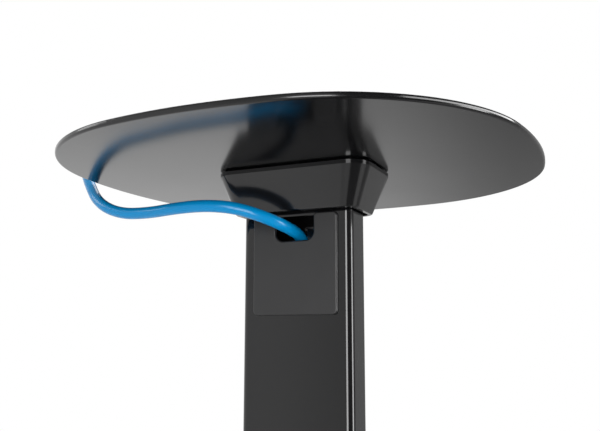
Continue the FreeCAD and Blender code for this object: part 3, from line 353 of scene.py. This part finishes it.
# Away from the stand the floor runs out into the white of the room.
WHITE = (1, 1, 1, 1)
SHADOW_REACH, WHITE_FROM = 0.3, 1.1
ground = pale_floor.node_tree
from_middle = add_node(ground, "ShaderNodeTexCoord")
distance = add_node(ground, "ShaderNodeVectorMath", {0: from_middle.outputs["Object"]},
                    operation="LENGTH")
run_out = add_node(ground, "ShaderNodeMapRange", {
    "Value": distance.outputs["Value"], "From Min": SHADOW_REACH, "From Max": WHITE_FROM},
    interpolation_type="SMOOTHSTEP")
eye_ray = add_node(ground, "ShaderNodeLightPath")
share = add_node(ground, "ShaderNodeMath", {
    0: run_out.outputs["Result"], 1: eye_ray.outputs["Is Camera Ray"]}, operation="MULTIPLY")
white = add_node(ground, "ShaderNodeEmission", {"Color": WHITE, "Strength": 1.0})
faded = add_node(ground, "ShaderNodeMixShader", {
    0: share.outputs[0], 1: floor_shader.outputs[0], 2: white.outputs[0]})
ground.links.new(faded.outputs[0], ground.nodes["Material Output"].inputs["Surface"])
floor.data.materials.append(pale_floor)
floor.visible_glossy = False

AMBIENT = 0.45
# Brightness of the walls in mirror images, by the heading in degrees from +Y towards +X.
WALLS = (
    (-180, 0.7), (-160, 0.7), (-154, 1.0), (-60, 1.0), (-30, 0.9), (-17, 0.6), (-11, 0.35),
    (-8, 0.28), (12, 0.42), (25, 0.42), (30, 0.35), (45, 0.25), (60, 0.3), (72, 0.8),
    (90, 0.8), (97, 0.12), (150, 0.12), (158, 0.7), (180, 0.7),
)
# The ceiling's brightness beside the walls', and the sine of the elevation where it starts.
CEILING = 0.5
CEILING_STARTS, CEILING_FULL = 0.25, 0.5


def grey(brightness):
    return (brightness, brightness, brightness, 1)


world = bpy.data.worlds.new("white_studio")
world.use_nodes = True
bpy.context.scene.world = world
sky = world.node_tree
ambient = sky.nodes["Background"]
ambient.inputs["Color"].default_value = WHITE
ambient.inputs["Strength"].default_value = AMBIENT
backdrop = add_node(sky, "ShaderNodeBackground", {"Color": WHITE, "Strength": 1.0})
towards = add_node(sky, "ShaderNodeTexCoord")
parts = add_node(sky, "ShaderNodeSeparateXYZ", {"Vector": towards.outputs["Generated"]})
heading = add_node(sky, "ShaderNodeMath", {0: parts.outputs["X"], 1: parts.outputs["Y"]},
                   operation="ARCTAN2")
round_room = add_node(sky, "ShaderNodeMapRange", {
    "Value": heading.outputs[0], "From Min": -math.pi, "From Max": math.pi})
walls = add_node(sky, "ShaderNodeValToRGB", {"Fac": round_room.outputs["Result"]})
stops = walls.color_ramp.elements
stops.remove(stops[1])
stops[0].color = grey(WALLS[0][1])
for degrees, brightness in WALLS[1:]:
    stops.new((degrees + 180) / 360).color = grey(brightness)
overhead = add_node(sky, "ShaderNodeMapRange", {
    "Value": parts.outputs["Z"], "From Min": CEILING_STARTS, "From Max": CEILING_FULL,
    "To Min": 1.0, "To Max": CEILING})
room = add_node(sky, "ShaderNodeBackground", {
    "Color": walls.outputs["Color"], "Strength": overhead.outputs["Result"]})
path = add_node(sky, "ShaderNodeLightPath")
seen = add_node(sky, "ShaderNodeMath", {
    0: path.outputs["Is Camera Ray"], 1: path.outputs["Is Transmission Ray"]},
    operation="MAXIMUM")
mirrored = add_node(sky, "ShaderNodeMixShader", {
    0: path.outputs["Is Glossy Ray"], 1: ambient.outputs[0], 2: room.outputs[0]})
choice = add_node(sky, "ShaderNodeMixShader", {
    0: seen.outputs[0], 1: mirrored.outputs[0], 2: backdrop.outputs[0]})
sky.links.new(choice.outputs[0], sky.nodes["World Output"].inputs["Surface"])

# Each lamp has its place, width and height in metres, and its power in watts.
LAMPS = (
    ("front_softbox", (0.36, -1.455, 0.42), 0.6, 0.9, 15),
    ("side_softbox", (1.47, 0.29, 0.5), 0.5, 0.6, 9),
    ("high_strip", (1.46, 0.26, 1.1), 2.4, 0.3, 18),
    ("left_softbox", (-1.5, -0.5, 1.3), 0.6, 0.6, 4),
    ("rear_softbox", (-0.6, 1.3, 2.0), 1.0, 0.8, 9),
)
POST_TOP = Vector((0, 0, 0.575))
for name, place, width, height, watts in LAMPS:
    light = bpy.data.lights.new(name, "AREA")
    light.shape = "RECTANGLE"
    light.size, light.size_y, light.energy = width, height, watts
    lamp = bpy.data.objects.new(name, light)
    lamp.location = place
    lamp.rotation_euler = (POST_TOP - Vector(place)).to_track_quat("-Z", "Y").to_euler()
    lamp.visible_camera = False
    bpy.context.scene.collection.objects.link(lamp)


# Camera: low in front and to the right, looking a little up at the plate, as in the
# photograph, whose optical axis lies left of the middle of its frame.

CAMERA_PLACE = Vector((0.16975, -0.38302, 0.50161))
YAW, PITCH, ROLL = math.radians(26.685), math.radians(9.684), math.radians(0.525)
FOCAL_PIXELS, FRAME_WIDTH, AXIS_PIXEL = 774.03, 600, 266.72
SENSOR_MM = 36.0
NEAREST_SEEN = 0.01
right = Vector((math.cos(YAW), math.sin(YAW), 0))
forward = Vector((-math.sin(YAW) * math.cos(PITCH), math.cos(YAW) * math.cos(PITCH),
                  math.sin(PITCH)))
up = right.cross(forward)
rolled_right = right * math.cos(ROLL) + up * math.sin(ROLL)
rolled_up = up * math.cos(ROLL) - right * math.sin(ROLL)
camera = bpy.data.cameras.new("camera")
camera.sensor_width = SENSOR_MM
camera.lens = FOCAL_PIXELS / FRAME_WIDTH * SENSOR_MM
camera.shift_x = (FRAME_WIDTH / 2 - AXIS_PIXEL) / FRAME_WIDTH
camera.clip_start = NEAREST_SEEN
eye = bpy.data.objects.new("camera", camera)
facing = Matrix((rolled_right, rolled_up, -forward)).transposed().to_4x4()
eye.matrix_world = Matrix.Translation(CAMERA_PLACE) @ facing
bpy.context.scene.collection.objects.link(eye)
bpy.context.scene.camera = eye
bpy.context.scene.view_settings.view_transform = "Standard"
